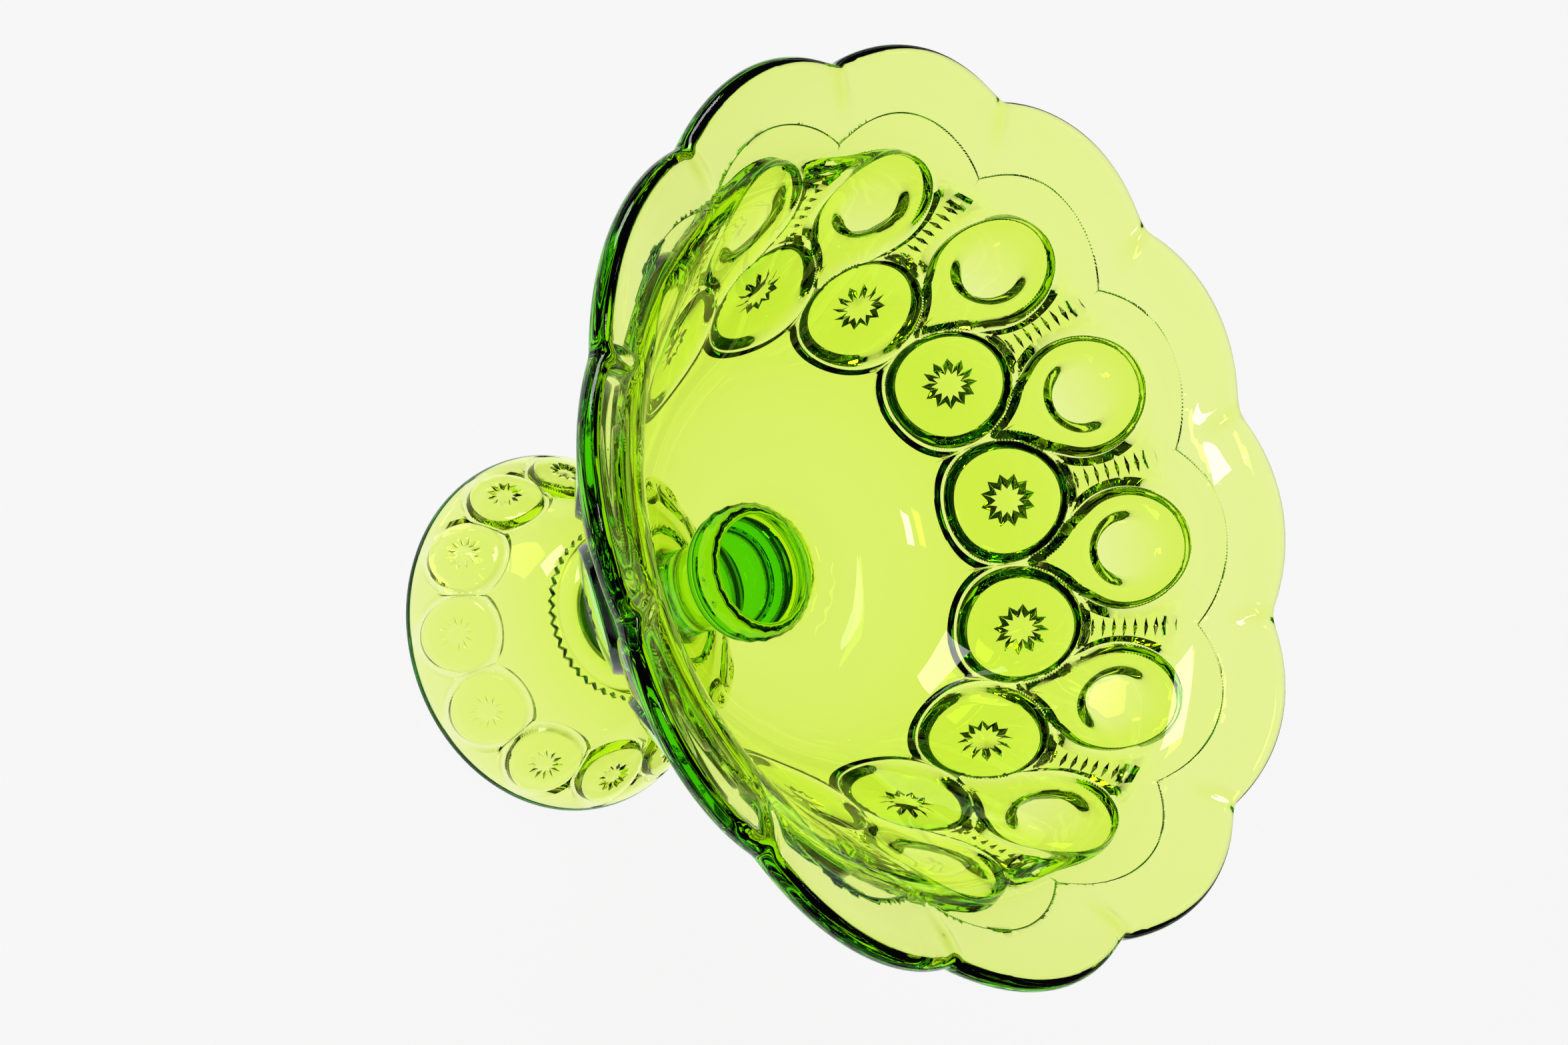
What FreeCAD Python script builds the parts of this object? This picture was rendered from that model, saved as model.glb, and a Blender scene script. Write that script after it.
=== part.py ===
"""Footed compote in pressed glass: a scalloped, flared bowl on a stem and a domed foot.

It stands on its foot.  The origin is the centre of the resting ring, +Z runs up the stem.
Three gathers of glass are joined hot, face to face: foot to stem and stem to bowl.
"""
import FreeCAD, Part
import math
import os

# ---- driving dimensions, millimetres and degrees ------------------------------------------
pattern_count = 12          # lobes, ovals and buttons round the bowl, buttons round the foot
pitch = 360.0 / pattern_count

foot_radius = 59.2
foot_edge_height = 2.6      # upright edge of the foot
foot_wall = 4.8             # width of the resting ring
foot_top_height = 36.0      # joint face between foot and stem
foot_top_radius = 24.5
foot_turn = -8.6            # the foot's buttons against the bowl's

stem_waist_radius = 14.2
stem_waist_height = 64.0
stem_head_radius = 17.6
stem_top_radius = 16.0
bowl_base_height = 100.0    # joint face between stem and bowl
ring_radius = 1.6           # two rings round the head of the stem
lower_ring_height = 88.0

rim_wall = 5.6
rim_notch_radius = 119.8
rim_lobe_radius = 124.7
rim_twist = 3.2             # the flared rim is turned slightly against the cup
notch_round = 2.2
lip_round = 2.2

# The outside of the cup, from the foot of the floor to the flare: radius, height, wall there
cup_outside = [(22.5, 104.2, 8.7), (36.0, 104.8, 8.7), (49.5, 107.6, 9.2), (59.3, 113.5, 8.9),
               (68.5, 121.7, 8.8), (77.4, 134.0, 8.5), (86.2, 149.4, 7.6), (93.3, 163.5, 6.8),
               (98.5, 174.6, 6.3)]
# The outside of the flared rim, past the lobes: radius, height
flare_outside = [(98.5, 174.6), (101.8, 180.2), (108.2, 185.6), (114.5, 189.2), (121.0, 193.0),
                 (126.5, 196.9), (132.0, 201.4)]

# The outside of the foot, from its upright edge to its crown: radius, height, wall there
foot_outside = [(foot_radius, foot_edge_height, foot_wall), (49.0, 14.3, 6.5), (38.0, 26.0, 8.0),
                (29.0, 34.6, 8.7)]

oval_radius = 17.6          # teardrop ovals, one behind each lobe
oval_tail = 29.0
oval_centre = (93.3, 163.5)
oval_lean = 64.0            # slope of the wall behind the oval
oval_rise = 3.0
oval_dome = 110.0
thumbprint_radius = 20.0
thumbprint_depth = 4.0

button_radius = 18.3        # star buttons on the cup
button_centre = (77.4, 134.0)
button_lean = 57.0
button_rise = 4.2
button_dome = 90.0
star_radius = 8.7
star_waist = 0.74           # radius of a star's inner corners, as a share of its points'
star_depth = 1.5

foot_button_radius = 12.2
foot_button_centre = (49.0, 14.3)
foot_button_lean = 132.0
foot_button_rise = 1.6
foot_button_dome = 48.0
foot_star_radius = 5.6
foot_star_depth = 0.9

root_depth = 3.4            # how far a raised form is rooted in the wall behind it

bead_count = 48             # ring of beads round the top of the foot
bead_ring_radius = 27.4
bead_ring_height = 34.9
bead_radius = 1.3

UP = FreeCAD.Vector(0, 0, 1)
ORIGIN = FreeCAD.Vector(0, 0, 0)


# ---- helpers ------------------------------------------------------------------------------
def in_section(point):
    """A (radius, height) pair as a point of the XZ section."""
    return FreeCAD.Vector(point[0], 0, point[1])


def smooth_edge(points):
    """A smooth curve through (radius, height) points."""
    curve = Part.BSplineCurve()
    curve.interpolate([in_section(p) for p in points])
    return curve.toShape()


def straight_edge(start, end):
    return Part.makeLine(in_section(start), in_section(end))


def moved_inward(points, distance=0.0):
    """The same run of points, moved square to itself towards its left-hand side.  A point
    that carries a wall thickness of its own is moved by that."""
    moved = []
    for i, (r, z, *wall) in enumerate(points):
        before = points[max(i - 1, 0)]
        after = points[min(i + 1, len(points) - 1)]
        run = math.hypot(after[0] - before[0], after[1] - before[1])
        depth = wall[0] if wall else distance
        moved.append((r - (after[1] - before[1]) / run * depth,
                      z + (after[0] - before[0]) / run * depth))
    return moved


def revolved(edges):
    """The closed (radius, height) outline turned once round the Z axis."""
    wire = Part.Wire(Part.__sortEdges__(edges))
    solid = Part.Face(wire).revolve(ORIGIN, UP, 360)
    return solid if solid.Volume > 0 else solid.reversed()


def set_on_wall(shape, centre, lean):
    """Stand a form built round the local origin on the wall: local X runs up the wall,
    local -Z points out of the glass."""
    turned = shape.copy()
    turned.rotate(ORIGIN, FreeCAD.Vector(0, 1, 0), -lean)
    turned.translate(in_section(centre))
    return turned


def repeated(shape, offset, count=pattern_count):
    """Copies of a form, spaced evenly round the Z axis."""
    copies = []
    for i in range(count):
        one = shape.copy()
        one.rotate(ORIGIN, UP, offset + i * 360.0 / count)
        copies.append(one)
    return copies


def domed(prism, rise, dome):
    """A prism cut to a low dome that stands rise above the wall."""
    ball = Part.makeSphere(dome, FreeCAD.Vector(0, 0, dome - rise))
    return prism.common(ball)


def disc(radius, rise, dome):
    blank = Part.makeCylinder(radius, root_depth + 2 * rise, FreeCAD.Vector(0, 0, -2 * rise), UP)
    return domed(blank, rise, dome)


def teardrop(radius, tail, rise, dome):
    """A round form whose tail points down the wall."""
    swing = math.radians(180) - math.acos(radius / tail)
    left = FreeCAD.Vector(radius * math.cos(swing), radius * math.sin(swing), 0)
    right = FreeCAD.Vector(left.x, -left.y, 0)
    tip = FreeCAD.Vector(-tail, 0, 0)
    outline = Part.Wire([Part.Arc(left, FreeCAD.Vector(radius, 0, 0), right).toShape(),
                         Part.makeLine(right, tip), Part.makeLine(tip, left)])
    blank = Part.Face(outline).extrude(FreeCAD.Vector(0, 0, root_depth + 2 * rise))
    blank.translate(FreeCAD.Vector(0, 0, -2 * rise))
    return domed(blank, rise, dome)


def star_cutter(radius, rise, depth):
    """A twelve-pointed star, sunk a little below the top of its button."""
    points = []
    for i in range(2 * pattern_count):
        reach = radius if i % 2 == 0 else star_waist * radius
        angle = math.radians(i * pitch / 2)
        points.append(FreeCAD.Vector(reach * math.cos(angle), reach * math.sin(angle), 0))
    face = Part.Face(Part.makePolygon(points + points[:1]))
    cutter = face.extrude(FreeCAD.Vector(0, 0, -2 * rise))
    cutter.translate(FreeCAD.Vector(0, 0, depth - rise))
    return cutter


def thumbprint():
    """The ball that presses the hollow into the middle of an oval."""
    lift = oval_rise + thumbprint_radius - thumbprint_depth
    return Part.makeSphere(thumbprint_radius, FreeCAD.Vector(0, 0, -lift))


# ---- bowl ---------------------------------------------------------------------------------
def scalloped_column(height):
    """A tall column with the rim's outline: one arc for each lobe."""
    arcs = []
    for i in range(pattern_count):
        corners = []
        for share, radius in ((0.0, rim_notch_radius), (0.5, rim_lobe_radius), (1.0, rim_notch_radius)):
            angle = math.radians(rim_twist + (i + share) * pitch)
            corners.append(FreeCAD.Vector(radius * math.cos(angle), radius * math.sin(angle), 0))
        arcs.append(Part.Arc(*corners).toShape())
    column = Part.Face(Part.Wire(arcs)).extrude(FreeCAD.Vector(0, 0, height))
    upright = [edge for edge in column.Edges if edge.BoundBox.ZLength > 0.9 * height]
    return column.makeFillet(notch_round, upright)


def on_rim(edge):
    middle = edge.valueAt((edge.FirstParameter + edge.LastParameter) / 2)
    return math.hypot(middle.x, middle.y) > rim_notch_radius + 2


def make_bowl():
    cup_inside = moved_inward(cup_outside)
    flare_inside = moved_inward(flare_outside, rim_wall)
    flare_inside[0] = cup_inside[-1]
    floor_height = cup_inside[0][1]
    outline = [
        straight_edge((0, bowl_base_height), (stem_top_radius, bowl_base_height)),
        smooth_edge([(stem_top_radius, bowl_base_height), (17.6, 102.5), cup_outside[0]]),
        smooth_edge(cup_outside),
        smooth_edge(flare_outside),
        straight_edge(flare_outside[-1], flare_inside[-1]),
        smooth_edge(flare_inside),
        smooth_edge(cup_inside),
        straight_edge(cup_inside[0], (0, floor_height)),
        straight_edge((0, floor_height), (0, bowl_base_height)),
    ]
    shell = revolved(outline).common(scalloped_column(2 * flare_outside[-1][1]))
    shell = shell.makeFillet(lip_round, [edge for edge in shell.Edges if on_rim(edge)])

    oval = set_on_wall(teardrop(oval_radius, oval_tail, oval_rise, oval_dome), oval_centre, oval_lean)
    button = set_on_wall(disc(button_radius, button_rise, button_dome), button_centre, button_lean)
    hollow = set_on_wall(thumbprint(), oval_centre, oval_lean)
    star = set_on_wall(star_cutter(star_radius, button_rise, star_depth), button_centre, button_lean)
    raised = shell.fuse(repeated(oval, pitch / 2) + repeated(button, 0))
    return raised.cut(repeated(hollow, pitch / 2) + repeated(star, 0))


# ---- stem ---------------------------------------------------------------------------------
def make_stem():
    """A solid baluster: flared at the foot, waisted, with two rings under the bowl."""
    head_low = (stem_head_radius, lower_ring_height - 2.0)
    head_high = (stem_head_radius, lower_ring_height + 8.0)
    top = (stem_top_radius, bowl_base_height)
    side = [(foot_top_radius, foot_top_height), (18.8, 42.0), (15.2, 53.0),
            (stem_waist_radius, stem_waist_height), (15.4, 76.0), head_low]
    outline = [
        straight_edge((0, foot_top_height), side[0]),
        smooth_edge(side),
        straight_edge(head_low, head_high),
        straight_edge(head_high, top),
        straight_edge(top, (0, bowl_base_height)),
        straight_edge((0, bowl_base_height), (0, foot_top_height)),
    ]
    rings = [Part.makeTorus(stem_head_radius, ring_radius, FreeCAD.Vector(0, 0, lower_ring_height + rise))
             for rise in (0.0, 2 * ring_radius)]
    return revolved(outline).fuse(rings)


# ---- foot ---------------------------------------------------------------------------------
def make_foot():
    """A high domed foot, hollow underneath, resting on a flat ring."""
    underside = moved_inward(foot_outside)
    underside[0] = (foot_radius - foot_wall, 0)
    hollow_top = (0, underside[-1][1])
    outline = [
        straight_edge((foot_radius - foot_wall, 0), (foot_radius, 0)),
        straight_edge((foot_radius, 0), foot_outside[0]),
        smooth_edge(foot_outside),
        straight_edge(foot_outside[-1], (foot_top_radius, foot_top_height)),
        straight_edge((foot_top_radius, foot_top_height), (0, foot_top_height)),
        straight_edge((0, foot_top_height), hollow_top),
        straight_edge(hollow_top, underside[-1]),
        smooth_edge(underside),
    ]
    button = set_on_wall(disc(foot_button_radius, foot_button_rise, foot_button_dome),
                         foot_button_centre, foot_button_lean)
    star = set_on_wall(star_cutter(foot_star_radius, foot_button_rise, foot_star_depth),
                       foot_button_centre, foot_button_lean)
    bead = Part.makeSphere(bead_radius, FreeCAD.Vector(bead_ring_radius, 0, bead_ring_height))
    raised = revolved(outline).fuse(repeated(button, foot_turn) + repeated(bead, 0, bead_count))
    return raised.cut(repeated(star, foot_turn))


os.makedirs("parts", exist_ok=True)
for name, shape in (("bowl", make_bowl()), ("stem", make_stem()), ("foot", make_foot())):
    print(name, shape.isValid(), len(shape.Solids), round(shape.Volume / 1000, 1), "cm3")
    shape.exportStep(f"parts/{name}.step")
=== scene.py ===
"""Footed compote in green pressed glass: bowl, stem and foot as three closed pieces of glass.

Each piece is built from half a pitch of its pattern.  That half cell is laid out flat, with x the
distance round the piece from the notch line and s the distance along its profile, filled with
points that follow the pattern's edges, triangulated, lifted by the pattern's height, then
mirrored and repeated round the axis.  Lengths are millimetres until a mesh is made.
"""
import math
import bpy
import numpy as np
from mathutils import Matrix, Vector
from mathutils.geometry import delaunay_2d_cdt

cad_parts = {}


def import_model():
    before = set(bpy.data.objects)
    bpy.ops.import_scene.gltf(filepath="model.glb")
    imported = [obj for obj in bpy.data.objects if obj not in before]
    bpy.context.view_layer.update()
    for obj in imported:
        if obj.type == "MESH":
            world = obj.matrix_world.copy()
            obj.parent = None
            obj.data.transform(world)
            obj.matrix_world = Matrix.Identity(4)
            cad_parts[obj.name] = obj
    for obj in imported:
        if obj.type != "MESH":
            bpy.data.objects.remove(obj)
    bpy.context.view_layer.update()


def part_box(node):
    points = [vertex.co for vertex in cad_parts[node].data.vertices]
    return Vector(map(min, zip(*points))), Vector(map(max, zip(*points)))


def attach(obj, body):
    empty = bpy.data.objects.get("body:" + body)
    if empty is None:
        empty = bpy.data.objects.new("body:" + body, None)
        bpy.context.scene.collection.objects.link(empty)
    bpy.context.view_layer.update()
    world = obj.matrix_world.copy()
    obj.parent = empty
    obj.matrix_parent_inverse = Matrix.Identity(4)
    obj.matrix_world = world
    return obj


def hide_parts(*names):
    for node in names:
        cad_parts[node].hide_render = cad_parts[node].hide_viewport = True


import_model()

MM = 0.001
COUNT = 12                          # lobes, ovals and buttons round the piece
PITCH = 2 * math.pi / COUNT
HALF = PITCH / 2

STEM_LOW, STEM_HIGH = [np.array(corner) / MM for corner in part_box("stem")]
BOWL_JOINT = STEM_HIGH[2]           # where stem and bowl meet
FOOT_JOINT = STEM_LOW[2]            # where foot and stem meet
JOINT_GAP = 0.02                    # left between two joined faces, so that they never coincide
JOINT_ANGLES = np.linspace(0, HALF, 5)     # points round half a pitch of a joint's edge

# ---- bowl: its outer line as (radius, height above the joint), and its wall ----
STEM_TOP = 16.0                     # radius of the joint between stem and bowl
BUTTON_AT = 79.7                    # radius of the ring of star buttons
OVAL_AT = 94.2                      # radius of the ring of ovals
FLARE_AT = 101.8                    # radius where the flare leaves the cup
LINE_END = 132.0                    # the flare's line runs on past the rim, which is cut from it
CUP = [(STEM_TOP, 0.0), (17.2, 2.3), (20.0, 3.7), (25.0, 4.15), (36.0, 4.8), (49.5, 7.6),
       (60.0, 12.2), (70.0, 20.2), (BUTTON_AT, 32.6), (88.0, 48.6), (OVAL_AT, 63.1), (98.6, 74.2),
       (FLARE_AT, 80.2), (108.2, 85.6), (114.5, 89.2), (121.0, 93.0), (126.5, 96.9), (LINE_END, 101.4)]
FLOOR_FLAT = 27.0                   # inside this radius the bowl's floor is level
RIM_WALL = 5.6
# thickness of the glass, and of the shallow band the pattern stands in, by radius
WALL_RADII = [0.0, 30.0, 50.0, 66.0, 80.0, 88.0, OVAL_AT, 99.0, 104.0, 114.0, LINE_END]
WALL_GLASS = [8.6, 8.7, 9.4, 10.8, 11.2, 9.6, 7.8, 6.4, 5.7, RIM_WALL, RIM_WALL]
BAND_GLASS = [8.9, 8.9, 8.6, 8.0, 7.4, 6.9, 6.6, 6.5, 6.3, 6.2, 6.2]

# ---- rim ----
NOTCH_RADIUS = 120.4
LOBE_RADIUS = 125.8
NOTCH_SOFT = 1.2                    # rounds the notch between two lobes
RIM_TWIST = math.radians(3.2)       # the rim's notches stand this far round from the buttons
TWIST_SPREAD = 6.0                  # added to the run over which the flare turns
FOLD = 0.9                          # sag of the flare at each notch
FOLD_WIDTH = 7.0
FOLD_START = 4.0                    # above the foot of the flare
FOLD_GROWTH = 1.5
FOLD_LIMIT = 1.3                    # it grows no further than this share of the flare
RIB = 1.3                           # narrow rib on the flare's upper face, along each fold
RIB_WIDTH = 2.4
RIB_LENGTH = 11.0
RIB_FADE = 5.0

# ---- pattern outside the bowl ----
BUTTON = 18.3                       # a button's radius, at half the height of its side
BUTTON_RISE = 2.9
BUTTON_DOME = 300.0                 # radius of its slightly domed top
BUTTON_WALL = 4.2                   # run of its steep side
OVAL = 17.6                         # radius of an oval's round head
OVAL_TAIL = 29.0                    # from the middle of the head to the tip of the tail
OVAL_TAIL_ROUND = 2.5
OVAL_RISE = 4.9                     # above the band
OVAL_WALL = 3.1
OVAL_GAP = 3.3                      # between the sides of a button and of the ovals beside it
DISH = 2.4                          # an oval is hollowed towards the rim
DISH_INSET = 6.0                    # from the oval's side
DISH_WALL = 10.0
DISH_START = -8.0                   # half-way up the hollow, from the middle of the oval
DISH_GROWTH = 24.0
PRINT = 10.2                        # thumbprint in the middle of an oval, deepest at its foot
PRINT_DEPTH = 5.4
PRINT_WALL = 4.0
PRINT_TILT = 1.3                    # how fast it grows shallow towards the rim
SCALLOP = 43.6                      # arc of the band's upper edge
SCALLOP_DROP = 14.0                 # its centre, below the middle of the oval
BUTTON_COLLAR = 23.3                # the band's lower edge, round each button
LAND = 3.0                          # toothed land between two ovals
LAND_GAP = 1.7                      # from the side of an oval to the foot of the land
LAND_SLOPE = 1.15
LAND_START = 10.0                   # it rises this far above the middle of a button
LAND_START_RUN = 8.0
LAND_END = 11.0                     # it dies away this far above the middle of an oval
LAND_END_RUN = 14.0
LAND_FROM_BUTTON = 2.6
LAND_FROM_BUTTON_RUN = 2.0
LAND_INSET = 1.2                    # from the band's upper edge
LAND_INSET_RUN = 2.4
TOOTH = 3.2                         # from one groove to the next
TOOTH_CUT = 1.6                     # depth of a groove on the notch line, where it is deepest
TOOTH_HALF = 0.8                    # half its width there
TOOTH_REACH = 3.2                   # from the notch line to its end
GROOVES = range(6, 16)              # the grooves that lie on the land, counted from the button

LOW_STEP = 2.6                      # run of the band's lower and upper edges
HIGH_STEP = 0.5

# ---- stars: radii as shares of the points' radius, depths as shares of the star's depth ----
STAR = 8.5
STAR_DEPTH = 2.6
STAR_WAIST = 0.74                   # the outline's inner corners
STAR_INNER = 0.66                   # the foot of its facets, under the points
STAR_CORE = 0.42                    # and under the inner corners
STAR_CORE_DEPTH = 0.8
STAR_MIDDLE_DEPTH = 0.5

# ---- fineness of the meshes ----
SIDE_END = 0.15                     # rounded share at each end of a straight side
ON_LINE = 1e-6                      # a point this near to a cell's border lies on it
AT_JOINT = 0.002                    # a face this near to a joint's height is joined
FINE = 0.96                         # spacing of points along the pattern's edges
STAR_FINE = 0.5
CLEAR = 0.16                        # two points are never nearer than this, but for finer places
STAR_CLEAR = 0.12
LINE_CLEAR = 0.1
EDGE_CLEAR = 0.03
PATTERN_FINE = 1.6                  # spacing of points over the pattern, the flare and the floor
FLARE_FINE = 2.2
FLOOR_FINE = 2.6
FOOT_EDGE_FINE = 0.9
# rows of points across a side and across an edge of the band, as shares of the run
WALL_STEPS = (-0.53, -0.43, -0.34, -0.12, 0.12, 0.34, 0.43, 0.53)
EDGE_STEPS = (0, 0.07, 0.15, 0.5, 0.85, 0.93, 1)
RIM_POINTS = 25                     # in half a pitch
LIP_ROWS = 11
INSIDE_ROWS = 34
STEM_ROWS = 190
UNDER_ROWS = 40
TEETH_POINTS = 17

# ---- foot, heights above its resting ring ----
FOOT_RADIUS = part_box("foot")[1][0] / MM
FOOT_WALL = 4.8                     # at the resting ring
RING_INSET = (1.6, 3.8)             # the flat of the resting ring, in from the foot's edge
FOOT_SIDE = [(FOOT_RADIUS - 0.9, 0.3), (FOOT_RADIUS - 0.05, 1.6), (FOOT_RADIUS - 0.8, 3.4),
             (49.0, 14.3), (38.0, 26.0), (31.6, 32.2), (28.2, 34.6)]
FOOT_UNDER = [(FOOT_RADIUS - FOOT_WALL, 0.3), (51.0, 3.7), (44.2, 9.9), (38.4, 15.2), (32.3, 20.4),
              (26.6, 24.6), (20.0, 27.2), (13.0, 28.0)]
FOOT_TURN = math.radians(-8.6)      # of the foot's pattern against the bowl's
FOOT_BUTTON_AT = 49.0               # radius of the foot's ring of star buttons
FOOT_BUTTON = 11.9
FOOT_BUTTON_RISE = 2.0
FOOT_BUTTON_DOME = 70.0
FOOT_BUTTON_WALL = 1.8
FOOT_BAND = 14.7                    # sunk band that the foot's buttons stand in
FOOT_BAND_DEPTH = 1.5
FOOT_BAND_STEP = 0.9
FOOT_EDGE = 2.4                     # plain edge below the band
FOOT_EDGE_STEP = 2.0
FOOT_EDGE_END = 4.0
FOOT_STAR = 5.8
FOOT_STAR_DEPTH = 1.2
TEETH = 48                          # toothed ring round the top of the foot
TEETH_AT = 27.4                     # its radius
TEETH_RISE = 1.7
TEETH_SWING = 1.3                   # from the tips of the teeth to their roots
TEETH_STEP = 0.8
TEETH_END = 1.0                     # from the joint
TEETH_END_STEP = 1.8

# ---- stem, heights above its joint with the foot ----
STEM_HEAD = 17.6                    # radius of the head under the bowl
STEM_SIDE = [(STEM_HIGH[0], 0.0), (20.6, 2.2), (17.6, 7.0), (15.2, 17.0), (14.2, 28.0),
             (14.8, 38.0), (16.6, 47.0), (STEM_HEAD, 51.5), (STEM_HEAD, 58.5), (STEM_TOP, 64.0)]
STEM_RINGS = (52.0, 55.2)           # heights of the two rings round the head
RING_ROUND = 1.6


# ---- curves and ramps ---------------------------------------------------------------------
def cubic_through(knots, values, at):
    """Natural cubic spline through the values at the knots."""
    gap = np.diff(knots)
    rows = np.eye(len(knots))
    right = np.zeros(len(knots))
    for i in range(1, len(knots) - 1):
        rows[i, i - 1:i + 2] = gap[i - 1], 2 * (gap[i - 1] + gap[i]), gap[i]
        slope_after = (values[i + 1] - values[i]) / gap[i]
        slope_before = (values[i] - values[i - 1]) / gap[i - 1]
        right[i] = 6 * (slope_after - slope_before)
    bend = np.linalg.solve(rows, right)
    k = np.clip(np.searchsorted(knots, at) - 1, 0, len(gap) - 1)
    h = gap[k]
    low, high = knots[k + 1] - at, at - knots[k]
    return (bend[k] * low ** 3 + bend[k + 1] * high ** 3) / (6 * h) \
        + (values[k] / h - bend[k] * h / 6) * low + (values[k + 1] / h - bend[k + 1] * h / 6) * high


class Profile:
    """A smooth (radius, height) line, walked by its length."""

    def __init__(self, points):
        points = np.array(points, float)
        knots = np.concatenate([[0], np.cumsum(np.hypot(*np.diff(points, axis=0).T))])
        fine = np.linspace(0, knots[-1], 6001)
        self.r = cubic_through(knots, points[:, 0], fine)
        self.z = cubic_through(knots, points[:, 1], fine)
        self.s = np.concatenate([[0], np.cumsum(np.hypot(np.diff(self.r), np.diff(self.z)))])
        along_r, along_z = np.gradient(self.r, self.s), np.gradient(self.z, self.s)
        self.out_r, self.out_z = along_z, -along_r

    def radius(self, s):
        """Radius of the line at a distance along it."""
        return np.interp(s, self.s, self.r)

    def where(self, radius):
        """Distance along the line at which it has a radius."""
        order = np.argsort(self.r)
        return np.interp(radius, self.r[order], self.s[order])

    def lifted(self, s, lift):
        """Radius and height of points lifted off the line, out of the glass."""
        radius = self.radius(s) + np.interp(s, self.s, self.out_r) * lift
        height = np.interp(s, self.s, self.z) + np.interp(s, self.s, self.out_z) * lift
        return radius, height


def ramp(distance, run):
    """0 to 1 as the distance goes from -run/2 to run/2, with rounded ends."""
    t = np.clip(distance / run + 0.5, 0, 1)
    return t * t * (3 - 2 * t)


def side(distance, run):
    """0 to 1 as ramp, but straight, with only its ends rounded."""
    t = np.clip(distance / run + 0.5, 0, 1)
    end = np.minimum(t, 1 - t)
    near = np.where(end < SIDE_END, end ** 2 / (2 * SIDE_END), end - SIDE_END / 2)
    return np.where(t < 0.5, near, 1 - SIDE_END - near) / (1 - SIDE_END)


def saw(value):
    """1 at whole numbers, 0 half-way between them."""
    return np.abs(2 * (value - np.floor(value)) - 1)


# ---- meshes -------------------------------------------------------------------------------
def on_axis(angle, radius, height):
    """Points of space from angles round the axis, radii and heights."""
    return np.stack([radius * np.cos(angle), radius * np.sin(angle), height + 0 * radius], axis=-1)


def rows_surface(rows, flip):
    """Triangles over rows of points that each close round the axis."""
    down, round_ = rows.shape[:2]
    index = np.arange(down * round_).reshape(down, round_)
    a, b = index[:-1], np.roll(index[:-1], -1, axis=1)
    c, d = np.roll(index[1:], -1, axis=1), index[1:]
    faces = np.concatenate([np.stack(corners, -1).reshape(-1, 3) for corners in ((a, b, c), (a, c, d))])
    return rows.reshape(-1, 3), faces[:, ::-1] if flip else faces


def cap(ring, centre, flip):
    """A fan that closes a ring of points."""
    count = len(ring)
    turn = np.arange(count)
    faces = np.stack([turn, np.roll(turn, -1), np.full(count, count)], -1)
    return np.vstack([ring, centre]), faces[:, ::-1] if flip else faces


def welded(surfaces):
    """One mesh from surfaces that share their border points."""
    points, faces, start = [], [], 0
    for some_points, some_faces in surfaces:
        points.append(some_points)
        faces.append(some_faces + start)
        start += len(some_points)
    points, faces = np.vstack(points), np.vstack(faces)
    _, first, same = np.unique(np.round(points, 4), axis=0, return_index=True, return_inverse=True)
    same = same.reshape(-1)
    faces = same[faces]
    whole = (faces != np.roll(faces, 1, axis=1)).all(1)
    return points[first], faces[whole]


# ---- the flat half cell -------------------------------------------------------------------
class Cell:
    """Points of half a pitch, laid out flat and filled from fine features to coarse ground."""

    def __init__(self, profile, bottom, top, angles):
        self.profile = profile
        self.bottom, self.top = bottom, top       # s of the two borders, as functions of angle
        self.low_edge = self.border(bottom, angles[0])
        self.high_edge = self.border(top, angles[1])
        self.points = np.vstack([self.low_edge, self.high_edge])

    def half(self, s):
        """Width of the half cell."""
        return HALF * self.profile.radius(s)

    def border(self, where, angles):
        """Points at the given angles along the lower or upper border."""
        s = where(angles)
        return np.stack([angles * self.profile.radius(s), s], -1)

    def add(self, points, clear=CLEAR):
        """Take the points that lie inside and keep clear of the borders and of earlier points."""
        x, s = points.T
        half = self.half(s)
        x = np.where(np.abs(x) < ON_LINE, 0, np.where(np.abs(x - half) < ON_LINE, half, x))
        points = np.stack([x, s], -1)
        angle = np.clip(x / self.profile.radius(s), 0, HALF)
        inside = (x >= 0) & (x <= half)
        inside &= (s > self.bottom(angle) + clear) & (s < self.top(angle) - clear)
        near_side = ((x > 0) & (x < clear)) | ((x < half) & (x > half - clear))
        points = points[inside & ~near_side]
        if len(points):
            gap = np.sqrt(((points[:, None] - self.points[None]) ** 2).sum(-1)).min(1)
            self.points = np.vstack([self.points, points[gap > clear]])

    def fill(self, low, high, spacing):
        """Staggered ground points between two values of s."""
        for i, s in enumerate(np.arange(low, high, spacing * 0.87)):
            half = self.half(s)
            count = max(1, round(half / spacing))
            x = np.linspace(0, half, count + 1)
            if i % 2:
                x = np.concatenate([[0], (x[1:] + x[:-1]) / 2, [half]])
            self.add(np.stack([x, np.full(len(x), s)], -1), 0.62 * spacing)

    def triangles(self):
        """The cell's points and faces, in a fixed order."""
        x, s = self.points.T
        inner = np.arange(len(x)) >= len(self.low_edge) + len(self.high_edge)
        left = np.where(inner & (x == 0))[0]
        right = np.where(inner & (np.abs(x - self.half(s)) < 1e-9))[0]
        low = np.arange(len(self.low_edge))
        high = np.arange(len(self.high_edge)) + len(self.low_edge)
        outline = [*low, *right[np.argsort(s[right])], *high[::-1], *left[np.argsort(-s[left])]]
        outline = [int(i) for i in outline]
        found = delaunay_2d_cdt([Vector(p) for p in self.points], [], [outline], 1, 1e-5)
        origin = [ids[0] if ids else -1 for ids in found[3]]
        faces = np.array([[origin[i] for i in face] for face in found[2] if len(face) == 3])
        return self.points, faces[(faces >= 0).all(1)]


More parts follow.
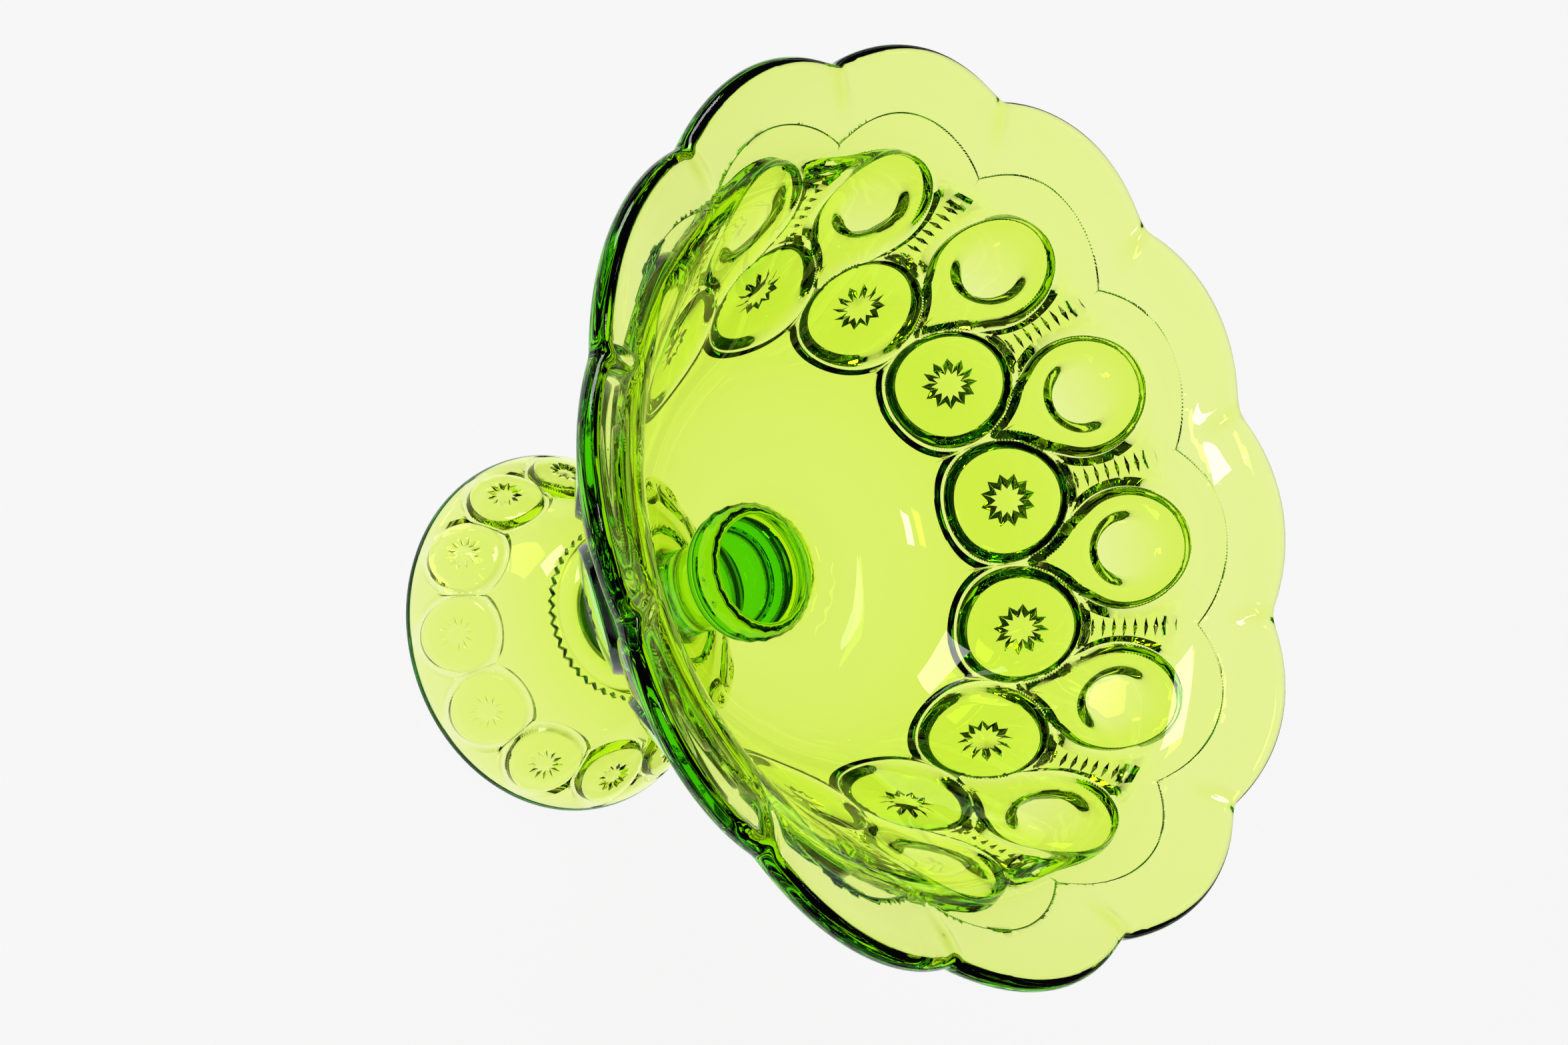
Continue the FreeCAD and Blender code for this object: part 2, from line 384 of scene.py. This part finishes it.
def round_the_axis(cell, lift, turn):
    """Every copy of a half cell: lifted, mirrored and repeated round the axis."""
    points, faces = cell.triangles()
    x, s = points.T
    profile = cell.profile
    angle = x / profile.radius(s)
    radius, height = profile.lifted(s, lift(x, s))
    surfaces = []
    for i in range(COUNT):
        for hand in (1, -1):
            place = on_axis(i * PITCH + hand * angle + turn(s), radius, height)
            surfaces.append((place, faces if hand == 1 else faces[:, ::-1]))
    return surfaces


def arc_points(centre_s, radius):
    """Half a circle round a centre on the notch line."""
    count = max(6, round(math.pi * radius / FINE))
    swing = np.linspace(-math.pi / 2, math.pi / 2, count + 1)
    points = np.stack([radius * np.cos(swing), centre_s + radius * np.sin(swing)], -1)
    points[[0, -1], 0] = 0
    return points


def star_corners(size):
    """Corners of one sector of a star, folded flat: outer and inner point, outer and inner corner."""
    across = np.array([math.cos(HALF), math.sin(HALF)])
    point = np.array([size, 0.0])
    return point, STAR_INNER * point, STAR_WAIST * size * across, STAR_CORE * size * across


def star_lift(x, y, size, depth):
    """A pit with a twelve-pointed outline: steep facets down to a ground of twelve rays."""
    reach = np.hypot(x, y)
    swing = np.abs((np.arctan2(x, y) + HALF) % PITCH - HALF)
    place = np.stack([reach * np.cos(swing), reach * np.sin(swing)], -1)
    tip, low_tip, waist, low_waist = star_corners(size)
    middle = np.zeros(2)
    lift = np.zeros(reach.shape)
    facets = (((tip, waist, low_waist), (0, 0, STAR_CORE_DEPTH)),
              ((tip, low_waist, low_tip), (0, STAR_CORE_DEPTH, 1)),
              ((middle, low_tip, low_waist), (STAR_MIDDLE_DEPTH, 1, STAR_CORE_DEPTH)))
    for (first, second, third), depths in facets:
        shares = np.linalg.solve(np.stack([second - first, third - first], -1), (place - first).T)
        shares = np.vstack([1 - shares.sum(0), shares])
        inside = (shares > -1e-6).all(0)
        lift = np.where(inside, -depth * (np.array(depths) @ shares), lift)
    return lift


def star_points(centre_s, size):
    """Points along every edge of a star's facets, on the half at x >= 0."""
    tip, low_tip, waist, low_waist = star_corners(size)
    middle = np.zeros(2)
    points = []
    for start, end in ((tip, waist), (low_tip, low_waist), (tip, low_tip), (waist, low_waist),
                       (tip, low_waist), (middle, low_tip), (middle, low_waist)):
        count = max(2, round(np.hypot(*(end - start)) / STAR_FINE))
        for share in np.linspace(0, 1, count + 1):
            points.append(start + (end - start) * share)
    points = np.array(points)
    everywhere = []
    for i in range(COUNT):
        sine, cosine = math.sin(i * PITCH), math.cos(i * PITCH)
        for flip in (1, -1):
            along, aside = points[:, 0], flip * points[:, 1]
            x, s = along * sine + aside * cosine, centre_s + along * cosine - aside * sine
            everywhere.append(np.stack([x, s], -1))
    everywhere = np.vstack(everywhere)
    everywhere[np.abs(everywhere[:, 0]) < ON_LINE, 0] = 0
    return everywhere[everywhere[:, 0] >= 0]


# ---- bowl ---------------------------------------------------------------------------------
def rim_radius(angle):
    """Outline of the scalloped rim, as one arc for each lobe."""
    chord = NOTCH_RADIUS * math.sin(HALF)
    rise = LOBE_RADIUS - NOTCH_RADIUS * math.cos(HALF)
    arc = (chord ** 2 + rise ** 2) / (2 * rise)
    centre = LOBE_RADIUS - arc
    from_notch = np.sqrt(np.asarray(angle) ** 2 + (NOTCH_SOFT / NOTCH_RADIUS) ** 2)
    from_lobe = HALF - from_notch
    return centre * np.cos(from_lobe) + np.sqrt(arc ** 2 - (centre * np.sin(from_lobe)) ** 2)


bowl_line = Profile([(r, z + BOWL_JOINT + JOINT_GAP) for r, z in CUP])
S_BUTTON = bowl_line.where(BUTTON_AT)
S_OVAL = bowl_line.where(OVAL_AT)
S_FLARE = bowl_line.where(FLARE_AT)
S_NOTCH = bowl_line.where(NOTCH_RADIUS)


def rim_s(angle):
    """Where the flat of the flare ends and its rounded lip starts."""
    return bowl_line.where(rim_radius(angle) - RIM_WALL / 2)


def wall_at(s):
    """Thickness of the glass inside the bowl's line."""
    return cubic_through(np.array(WALL_RADII), np.array(WALL_GLASS), bowl_line.radius(s))


def band_at(s):
    """How far the band's ground stands off the bowl's line."""
    return cubic_through(np.array(WALL_RADII), np.array(BAND_GLASS), bowl_line.radius(s)) - wall_at(s)


def flare_turn(s):
    """The turn of the rim, spread over the flare."""
    return RIM_TWIST * ramp(s - (S_FLARE + S_NOTCH) / 2, S_NOTCH - S_FLARE + TWIST_SPREAD)


def fold(x, s):
    """The flare sags a little at each notch."""
    along = np.clip((s - S_FLARE - FOLD_START) / (S_NOTCH - S_FLARE), 0, FOLD_LIMIT) ** FOLD_GROWTH
    return along * FOLD * np.exp(-np.abs(x) / FOLD_WIDTH)


def rib(x, s):
    """A narrow rib on the upper face, along the fold."""
    along = ramp(s - (S_NOTCH - RIB_LENGTH), RIB_FADE)
    return RIB * along * np.exp(-(x / RIB_WIDTH) ** 2)


def oval_edge(x, s):
    """Signed distance to an oval's outline, negative inside; x is from the oval's centre line."""
    aside, up = np.abs(x), s - S_OVAL
    reach = OVAL_TAIL - OVAL_TAIL_ROUND
    lean = (OVAL - OVAL_TAIL_ROUND) / reach
    flank = math.sqrt(1 - lean * lean)
    along = -aside * lean - up * flank
    from_head = np.hypot(aside, up) - OVAL
    from_tail = np.hypot(aside, up + reach) - OVAL_TAIL_ROUND
    from_flank = aside * flank - up * lean - OVAL
    return np.where(along < 0, from_head, np.where(along > flank * reach, from_tail, from_flank))


def oval_ring(offset):
    """Half the oval's outline moved out by an offset, from its top to the end of its tail."""
    reach = OVAL_TAIL - OVAL_TAIL_ROUND
    lean = math.asin((OVAL - OVAL_TAIL_ROUND) / reach)
    big, small = OVAL + offset, OVAL_TAIL_ROUND + offset
    points = []
    for swing in np.linspace(0, math.pi / 2 + lean, round(big * (math.pi / 2 + lean) / FINE)):
        points.append((big * math.sin(swing), big * math.cos(swing)))
    outward = np.array([math.cos(lean), -math.sin(lean)])
    for share in np.linspace(0, 1, round(reach / FINE))[1:]:
        points.append(tuple(outward * (big + (small - big) * share) + np.array([0, -reach * share])))
    for swing in np.linspace(math.pi / 2 + lean, math.pi, 6)[1:]:
        points.append((small * math.sin(swing), small * math.cos(swing) - reach))
    points = np.array(points)
    points[[0, -1], 0] = 0
    return points


def land_lift(x, s, apart):
    """The land between two ovals, cut by short grooves; apart is the distance from an oval."""
    slope = np.clip((apart - LAND_GAP) * LAND_SLOPE, 0, LAND)
    from_groove = np.abs((s - S_BUTTON) / TOOTH - np.round((s - S_BUTTON) / TOOTH)) * TOOTH
    cut = TOOTH_CUT * np.clip(1 - x / TOOTH_REACH - from_groove / TOOTH_HALF, 0, 1)
    start = ramp(s - S_BUTTON - LAND_START, LAND_START_RUN)
    return np.clip(slope - cut, 0, None) * (start * (1 - ramp(s - S_OVAL - LAND_END, LAND_END_RUN)))


def bowl_lift(x, s):
    """Height of the pattern outside the bowl."""
    aside = HALF * bowl_line.radius(s) - x
    from_button = np.hypot(x, s - S_BUTTON)
    from_oval = np.hypot(aside, s - S_OVAL)
    scallop = np.hypot(aside, s - S_OVAL + SCALLOP_DROP) - SCALLOP
    below = side(BUTTON_COLLAR - from_button - LOW_STEP / 2, LOW_STEP)
    above = side(-scallop - HIGH_STEP / 2, HIGH_STEP) * (s > S_BUTTON)
    ground = band_at(s)
    lift = ground * np.maximum(below, above)

    oval = np.maximum(oval_edge(aside, s), BUTTON + OVAL_GAP - from_button)
    clear = ramp(from_button - BUTTON - LAND_FROM_BUTTON, LAND_FROM_BUTTON_RUN)
    clear = clear * ramp(-scallop - LAND_INSET, LAND_INSET_RUN)
    lift = lift + clear * land_lift(x, s, oval)

    hollow = DISH * ramp(-oval - DISH_INSET, DISH_WALL) * ramp(s - S_OVAL - DISH_START, DISH_GROWTH)
    tilt = np.clip(0.5 - (s - S_OVAL) / (2 * PRINT), 0, 1) ** PRINT_TILT
    dent = PRINT_DEPTH * tilt * side(PRINT - from_oval, PRINT_WALL)
    lift = lift + (ground + OVAL_RISE - hollow - dent - lift) * side(-oval, OVAL_WALL)

    top = BUTTON_RISE - from_button ** 2 / (2 * BUTTON_DOME)
    top = top + star_lift(x, s - S_BUTTON, STAR, STAR_DEPTH)
    lift = lift + (top - lift) * side(BUTTON - from_button, BUTTON_WALL)
    return lift + fold(x, s)


def bowl_cell():
    """Half a pitch of the bowl's outside."""
    share = np.linspace(0, 1, RIM_POINTS)
    rim_angles = HALF * (0.3 * share + 0.7 * share ** 2)        # closer together at the notch
    cell = Cell(bowl_line, lambda a: 0 * a, rim_s, (JOINT_ANGLES, rim_angles))

    def from_oval(points):
        s = S_OVAL + points[:, 1]
        return np.stack([cell.half(s) - points[:, 0], s], -1)

    cell.add(star_points(S_BUTTON, STAR), STAR_CLEAR)
    for offset in WALL_STEPS:
        cell.add(arc_points(S_BUTTON, BUTTON + offset * BUTTON_WALL))
        ring = from_oval(oval_ring(offset * OVAL_WALL))
        apart = np.hypot(ring[:, 0], ring[:, 1] - S_BUTTON) - BUTTON
        cell.add(ring[apart > OVAL_GAP + 0.5])
    for offset in WALL_STEPS[::-1]:
        ring = arc_points(S_BUTTON, BUTTON + OVAL_GAP - offset * OVAL_WALL)
        inside = oval_edge(cell.half(ring[:, 1]) - ring[:, 0], ring[:, 1]) < 0
        cell.add(ring[inside])
    for offset in WALL_STEPS:
        cell.add(from_oval(arc_points(0, PRINT + offset * PRINT_WALL)))
    for share in EDGE_STEPS:
        ring = from_oval(arc_points(-SCALLOP_DROP, SCALLOP - share * HIGH_STEP))
        cell.add(ring[ring[:, 1] > S_OVAL], EDGE_CLEAR)
        cell.add(arc_points(S_BUTTON, BUTTON_COLLAR - share * LOW_STEP))
    share = np.linspace(0, 1, 7)
    for groove in S_BUTTON + TOOTH * np.array(GROOVES):
        for edge in (-1, 0, 1):
            line = groove + edge * TOOTH_HALF * (1 - share)
            cell.add(np.stack([TOOTH_REACH * share, line], -1), LINE_CLEAR)
    for apart in (LAND_GAP, LAND_GAP + LAND / LAND_SLOPE / 2, LAND_GAP + LAND / LAND_SLOPE):
        cell.add(from_oval(oval_ring(apart)))
    floor_end = S_BUTTON - BUTTON_COLLAR - 2
    pattern_end = S_FLARE + 10
    cell.fill(floor_end, pattern_end, PATTERN_FINE)
    cell.fill(pattern_end, S_NOTCH + 12, FLARE_FINE)
    cell.fill(2.0, floor_end, FLOOR_FINE)
    return cell, rim_angles


def all_round(half_angles):
    """The angles of a half cell's border, mirrored and repeated right round."""
    one = np.concatenate([half_angles, PITCH - half_angles[-2:0:-1]])
    return np.concatenate([one + i * PITCH for i in range(COUNT)])


def bowl_mesh():
    """The patterned outside, the rounded lip, the plain inside and the face joined to the stem."""
    cell, half_angles = bowl_cell()
    surfaces = round_the_axis(cell, bowl_lift, flare_turn)

    angles = all_round(half_angles)
    from_notch = np.abs((angles + HALF) % PITCH - HALF)
    edge = rim_s(from_notch)
    x = from_notch * bowl_line.radius(edge)
    along_r = -np.interp(edge, bowl_line.s, bowl_line.out_z)
    along_z = np.interp(edge, bowl_line.s, bowl_line.out_r)
    out, thick, ridge = fold(x, edge), wall_at(edge), rib(x, edge)
    rows = []
    for swing in np.linspace(0, math.pi, LIP_ROWS):
        lift = out + thick / 2 * (math.cos(swing) - 1) - ridge * (1 - math.cos(swing)) / 2
        r, z = bowl_line.lifted(edge, lift)
        stand = thick / 2 * math.sin(swing)
        rows.append(on_axis(angles + flare_turn(edge), r + along_r * stand, z + along_z * stand))
    surfaces.append(rows_surface(np.array(rows), False))

    rows = []
    for share in np.linspace(0, 1, INSIDE_ROWS):
        s = edge + (bowl_line.where(FLOOR_FLAT) - edge) * share
        x = from_notch * bowl_line.radius(s)
        lift = fold(x, s) - wall_at(s) - rib(x, s)
        r, z = bowl_line.lifted(s, lift)
        rows.append(on_axis(angles + flare_turn(s), r, z))
    floor_r, floor_z = r, z
    for share in (0.8, 0.6, 0.4, 0.2):
        rows.append(on_axis(angles, floor_r * share, floor_z))
    surfaces.append(rows_surface(np.array(rows), False))
    surfaces.append(cap(rows[-1], (0, 0, float(floor_z.mean())), False))

    surfaces.append(joint_face(STEM_TOP, BOWL_JOINT + JOINT_GAP, True))
    return welded(surfaces)


# ---- stem and foot ------------------------------------------------------------------------
def joint_face(radius, height, facing_down):
    """The flat round face of a hot join."""
    angles = all_round(JOINT_ANGLES)
    ring = on_axis(angles, np.full(len(angles), radius), height)
    return cap(ring, (0, 0, height), facing_down)


def stem_mesh():
    """The waisted stem with its two rings, between its two joined faces."""
    low, high = FOOT_JOINT + JOINT_GAP, BOWL_JOINT
    squeeze = (high - low) / STEM_SIDE[-1][1]
    line = Profile([(r, low + z * squeeze) for r, z in STEM_SIDE])
    angles = all_round(JOINT_ANGLES)
    rows = []
    for s in np.linspace(0, line.s[-1], STEM_ROWS):
        z = np.interp(s, line.s, line.z) - FOOT_JOINT
        lift = max(math.sqrt(max(0, RING_ROUND ** 2 - (z - ring) ** 2)) for ring in STEM_RINGS)
        r, z = line.lifted(np.full(len(angles), s), lift)
        rows.append(on_axis(angles, r, z))
    return welded([rows_surface(np.array(rows), False), joint_face(STEM_HIGH[0], low, True),
                   joint_face(STEM_TOP, high, False)])


foot_line = Profile(FOOT_SIDE + [(STEM_HIGH[0], FOOT_JOINT)])
S_FOOT_BUTTON = foot_line.where(FOOT_BUTTON_AT)
S_TEETH = foot_line.where(TEETH_AT)


def foot_lift(x, s):
    """Height of the pattern on top of the foot."""
    from_button = np.hypot(x, s - S_FOOT_BUTTON)
    lift = -FOOT_BAND_DEPTH * ramp(FOOT_BAND - from_button - FOOT_BAND_STEP / 2, FOOT_BAND_STEP)
    lift = lift * ramp(s - FOOT_EDGE, FOOT_EDGE_STEP)
    top = FOOT_BUTTON_RISE - from_button ** 2 / (2 * FOOT_BUTTON_DOME)
    top = top + star_lift(x, s - S_FOOT_BUTTON, FOOT_STAR, FOOT_STAR_DEPTH)
    lift = lift + (top - lift) * side(FOOT_BUTTON - from_button, FOOT_BUTTON_WALL)
    tooth = TEETH_SWING * (saw(x / foot_line.radius(s) * TEETH / (2 * math.pi)) - 0.5)
    fade = ramp(s - foot_line.s[-1] + TEETH_END, TEETH_END_STEP)
    return lift + TEETH_RISE * (ramp(s - S_TEETH - tooth, TEETH_STEP) * (1 - fade))


def foot_mesh():
    """The patterned dome, the hollow under it and the face joined to the stem."""
    edge_angles = np.linspace(0, HALF, 9)
    end = foot_line.s[-1]
    cell = Cell(foot_line, lambda a: 0 * a, lambda a: end + 0 * a, (edge_angles, JOINT_ANGLES))
    cell.add(star_points(S_FOOT_BUTTON, FOOT_STAR), STAR_CLEAR)
    for offset in WALL_STEPS:
        cell.add(arc_points(S_FOOT_BUTTON, FOOT_BUTTON + offset * FOOT_BUTTON_WALL))
    for inset in (0, 0.3, 0.6, 0.9):
        cell.add(arc_points(S_FOOT_BUTTON, FOOT_BAND - inset))
    teeth_angles = np.linspace(0, HALF, TEETH_POINTS)
    for s in S_TEETH + np.arange(-1.5, 2.2, 0.28):
        row = np.stack([teeth_angles * foot_line.radius(s), np.full(TEETH_POINTS, s)], -1)
        cell.add(row, LINE_CLEAR)
    cell.fill(0.6, FOOT_EDGE_END, FOOT_EDGE_FINE)
    cell.fill(FOOT_EDGE_END, S_TEETH - 2, PATTERN_FINE)
    surfaces = round_the_axis(cell, foot_lift, lambda s: FOOT_TURN + 0 * s)

    angles = all_round(edge_angles) + FOOT_TURN
    under = Profile(FOOT_UNDER)
    line = [FOOT_SIDE[0]] + [(FOOT_RADIUS - inset, 0.0) for inset in RING_INSET]
    line += [tuple(np.array(under.lifted(s, 0))) for s in np.linspace(0, under.s[-1], UNDER_ROWS)]
    line += [(share * line[-1][0], line[-1][1]) for share in (0.75, 0.5, 0.25)]
    rows = np.array([on_axis(angles, np.full(len(angles), r), z) for r, z in line])
    surfaces.append(rows_surface(rows, True))
    surfaces.append(cap(rows[-1], (0, 0, line[-1][1]), True))
    face_points, faces = joint_face(STEM_HIGH[0], FOOT_JOINT, False)
    turned = np.array(Matrix.Rotation(FOOT_TURN, 3, "Z"))
    surfaces.append((face_points @ turned.T, faces))
    return welded(surfaces)


# ---- glass --------------------------------------------------------------------------------
GLASS_IOR = 1.52
GLASS_TINT = (0.863, 0.976, 0, 1)
GLASS_DEPTH = 190                   # density of the absorption
WAVES = 45                          # slight waviness of the pressed surface, per metre
WAVE_HEIGHT = 0.12 * MM
JOINED = "joined"


def glass_material():
    """Clear glass, coloured through its depth; a joined face bends no light."""
    material = bpy.data.materials.new("green_glass")
    material.use_nodes = True
    tree = material.node_tree
    shader = tree.nodes["Principled BSDF"]
    shader.inputs["Base Color"].default_value = (1, 1, 1, 1)
    shader.inputs["Transmission Weight"].default_value = 1
    shader.inputs["Roughness"].default_value = 0
    shader.inputs["IOR"].default_value = GLASS_IOR

    face = tree.nodes.new("ShaderNodeAttribute")
    face.attribute_name = JOINED
    index = tree.nodes.new("ShaderNodeMapRange")
    index.inputs["To Min"].default_value = GLASS_IOR
    index.inputs["To Max"].default_value = 1
    tree.links.new(face.outputs["Fac"], index.inputs["Value"])
    tree.links.new(index.outputs["Result"], shader.inputs["IOR"])

    depth = tree.nodes.new("ShaderNodeVolumeAbsorption")
    depth.inputs["Color"].default_value = GLASS_TINT
    depth.inputs["Density"].default_value = GLASS_DEPTH
    tree.links.new(depth.outputs["Volume"], tree.nodes["Material Output"].inputs["Volume"])

    place = tree.nodes.new("ShaderNodeTexCoord")
    sway = tree.nodes.new("ShaderNodeTexNoise")
    sway.inputs["Scale"].default_value = WAVES
    sway.inputs["Detail"].default_value = 1
    bump = tree.nodes.new("ShaderNodeBump")
    bump.inputs["Strength"].default_value = 1
    bump.inputs["Distance"].default_value = WAVE_HEIGHT
    tree.links.new(place.outputs["Object"], sway.inputs["Vector"])
    tree.links.new(sway.outputs["Fac"], bump.inputs["Height"])
    tree.links.new(bump.outputs["Normal"], shader.inputs["Normal"])
    return material


# ---- pieces -------------------------------------------------------------------------------
def piece(name, mesh_data, joints, material):
    """A closed piece of glass that stands for one node of the frame."""
    points, faces = mesh_data
    mesh = bpy.data.meshes.new(name)
    mesh.from_pydata((points * MM).tolist(), [], faces.tolist())
    mesh.update()
    mesh.shade_smooth()
    mesh.set_sharp_from_angle(angle=math.radians(40))
    corner_heights = points[faces][:, :, 2]
    joined = np.zeros(len(faces))
    for height in joints:
        joined[(np.abs(corner_heights - height) < AT_JOINT).all(1)] = 1
    mesh.attributes.new(JOINED, "FLOAT", "FACE").data.foreach_set("value", joined)
    mesh.materials.append(material)
    thing = bpy.data.objects.new(name, mesh)
    bpy.context.scene.collection.objects.link(thing)
    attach(thing, "root")
    return thing


glass = glass_material()
bowl = piece("glass_bowl", bowl_mesh(), [BOWL_JOINT + JOINT_GAP], glass)
stem = piece("glass_stem", stem_mesh(), [FOOT_JOINT + JOINT_GAP, BOWL_JOINT], glass)
foot = piece("glass_foot", foot_mesh(), [FOOT_JOINT], glass)
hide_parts("bowl")
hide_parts("stem")
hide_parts("foot")


# ---- surroundings, in metres --------------------------------------------------------------
FLOOR_REACH = 30.0
FLOOR_GLOW = 0.91
FLOOR_GREY = 0.08
GROUND = 1.0                        # brightness of the table, the horizon and the dark studio
HORIZON = 0.45
DOME = 0.03
# heights, on a sphere of radius one round the glass, over which one gives way to the next
TABLE_EDGE = (-0.34, -0.24)
HORIZON_FOOT = (-0.14, -0.03)
HORIZON_TOP = (0.03, 0.16)
CAMERA_AT = (0.32937, 0.20416, 0.55908)
CAMERA_RIGHT = (-0.7684, -0.1244, 0.6277)
CAMERA_UP = (0.3220, -0.9229, 0.2112)
CAMERA_LENS = 47.12                 # mm, on a sensor 36 mm wide
LIGHTS_AIM = (0, 0, 0.12)


def floor():
    """A pale floor that glows softly, like a lit table, and still takes a faint shadow."""
    mesh = bpy.data.meshes.new("floor")
    corners = [(x * FLOOR_REACH, y * FLOOR_REACH, 0) for x, y in ((-1, -1), (1, -1), (1, 1), (-1, 1))]
    mesh.from_pydata(corners, [], [(0, 1, 2, 3)])
    ground = bpy.data.objects.new("floor", mesh)
    bpy.context.scene.collection.objects.link(ground)
    material = bpy.data.materials.new("floor_white")
    material.use_nodes = True
    shader = material.node_tree.nodes["Principled BSDF"]
    shader.inputs["Base Color"].default_value = (FLOOR_GREY, FLOOR_GREY, FLOOR_GREY, 1)
    shader.inputs["Roughness"].default_value = 1
    shader.inputs["Specular IOR Level"].default_value = 0
    shader.inputs["Emission Color"].default_value = (1, 1, 1, 1)
    shader.inputs["Emission Strength"].default_value = FLOOR_GLOW
    mesh.materials.append(material)
    ground.visible_transmission = False
    ground.visible_glossy = False


def world():
    """Studio round the glass: a white table below it, a pale horizon, dark elsewhere."""
    sky = bpy.data.worlds.new("studio")
    bpy.context.scene.world = sky
    sky.use_nodes = True
    tree = sky.node_tree
    links, nodes = tree.links, tree.nodes
    place = nodes.new("ShaderNodeTexCoord")

    def grey(height, between, low_grey, high_grey):
        node = nodes.new("ShaderNodeMapRange")
        node.interpolation_type = "SMOOTHSTEP"
        node.inputs["From Min"].default_value, node.inputs["From Max"].default_value = between
        node.inputs["To Min"].default_value = low_grey
        node.inputs["To Max"].default_value = high_grey
        links.new(height, node.inputs["Value"])
        return node.outputs["Result"]

    def combined(operation, one, other):
        node = nodes.new("ShaderNodeMath")
        node.operation = operation
        links.new(one, node.inputs[0])
        links.new(other, node.inputs[1])
        return node.outputs["Value"]

    split = nodes.new("ShaderNodeSeparateXYZ")
    links.new(place.outputs["Generated"], split.inputs["Vector"])
    above = grey(split.outputs["Z"], HORIZON_TOP, HORIZON, DOME)
    below = grey(split.outputs["Z"], HORIZON_FOOT, DOME, HORIZON)
    table = grey(split.outputs["Z"], TABLE_EDGE, GROUND, DOME)
    seen = combined("MAXIMUM", table, combined("MINIMUM", above, below))
    rays = nodes.new("ShaderNodeLightPath")
    direct = nodes.new("ShaderNodeMix")
    links.new(rays.outputs["Is Camera Ray"], direct.inputs["Factor"])
    links.new(seen, direct.inputs["A"])
    direct.inputs["B"].default_value = 1
    links.new(direct.outputs["Result"], nodes["Background"].inputs["Color"])
    nodes["Background"].inputs["Strength"].default_value = 1.0


def area_light(name, place, size, power):
    """A rectangular lamp aimed at the middle of the glass."""
    light = bpy.data.lights.new(name, "AREA")
    light.shape = "RECTANGLE"
    light.size, light.size_y = size
    light.energy = power
    lamp = bpy.data.objects.new(name, light)
    lamp.location = place
    lamp.rotation_euler = (Vector(LIGHTS_AIM) - Vector(place)).to_track_quat("-Z", "Y").to_euler()
    bpy.context.scene.collection.objects.link(lamp)


def camera():
    """Looking down into the bowl, rolled so that the compote seems to lie on its side."""
    lens = bpy.data.cameras.new("camera")
    lens.sensor_width = 36
    lens.lens = CAMERA_LENS
    lens.clip_end = 50
    eye = bpy.data.objects.new("camera", lens)
    right, up = Vector(CAMERA_RIGHT), Vector(CAMERA_UP)
    turn = Matrix((right, up, right.cross(up))).transposed().to_4x4()
    eye.matrix_world = Matrix.Translation(CAMERA_AT) @ turn
    bpy.context.scene.collection.objects.link(eye)
    bpy.context.scene.camera = eye


floor()
world()
area_light("key", (0.7, -0.9, 0.95), (0.6, 0.4), 5)
area_light("glint", (-0.80, -0.58, 1.46), (0.10, 0.12), 0.10)
area_light("overhead", (0.14, 0.04, 1.6), (0.22, 0.16), 1.4)
camera()

look = bpy.context.scene
look.view_settings.view_transform = "Standard"
look.cycles.max_bounces = 24
look.cycles.transmission_bounces = 24
look.cycles.transparent_max_bounces = 8
look.cycles.sample_clamp_indirect = 6
